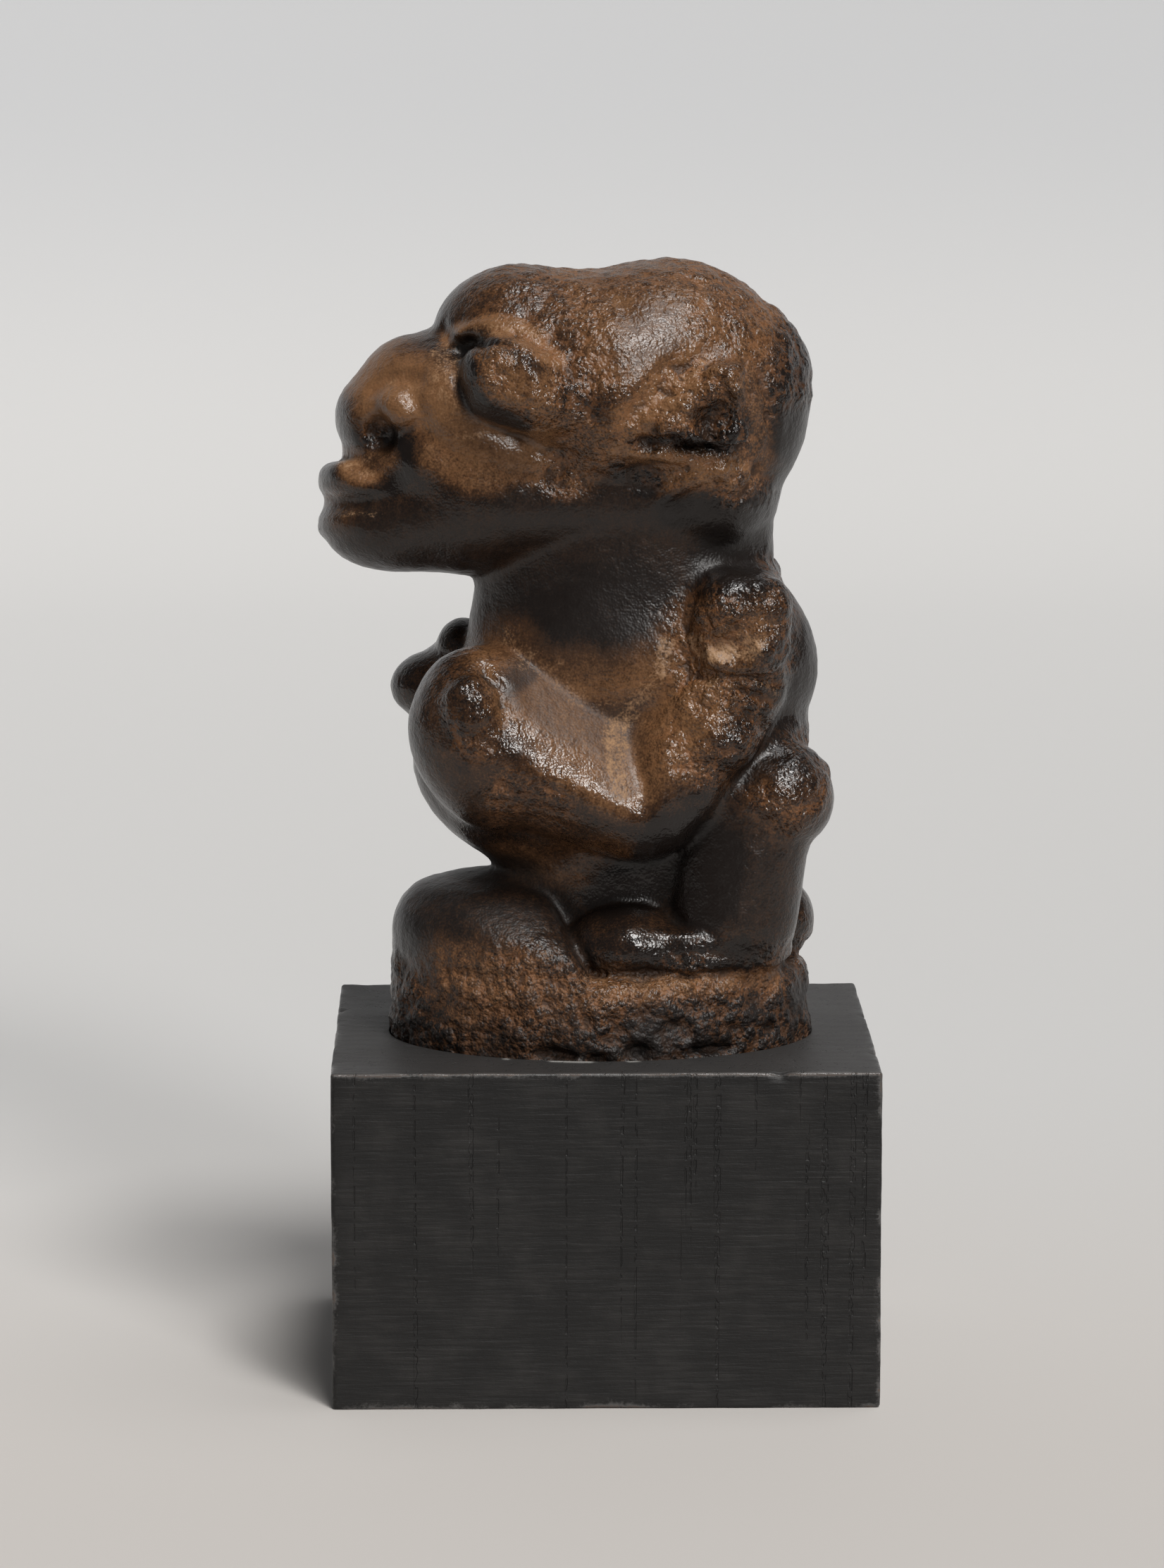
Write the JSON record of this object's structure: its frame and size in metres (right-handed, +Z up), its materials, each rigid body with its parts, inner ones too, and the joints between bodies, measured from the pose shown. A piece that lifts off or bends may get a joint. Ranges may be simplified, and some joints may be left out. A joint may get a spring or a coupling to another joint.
{
  "type": "nomoli figure",
  "caption": "Crouching carved soapstone figure with a huge jutting head, bulging eyes and folded arms, its base let into a recess in a black-painted wooden block.",
  "frame": {"origin": "middle of the wooden block's underside", "axes": "+Z up, the figure faces -X, its left side is towards -Y"},
  "size_m": [0.1273, 0.104, 0.256],
  "materials": {
    "stone": "dark brown handled patina, glossy on the high places, rough and earthy in the hollows",
    "painted_wood": "thin black paint, satin, with the grain showing and worn edges"
  },
  "bodies": {
    "root": {"stone_figure": "stone", "wood_plinth": "painted_wood"}
  },
  "joints": []
}
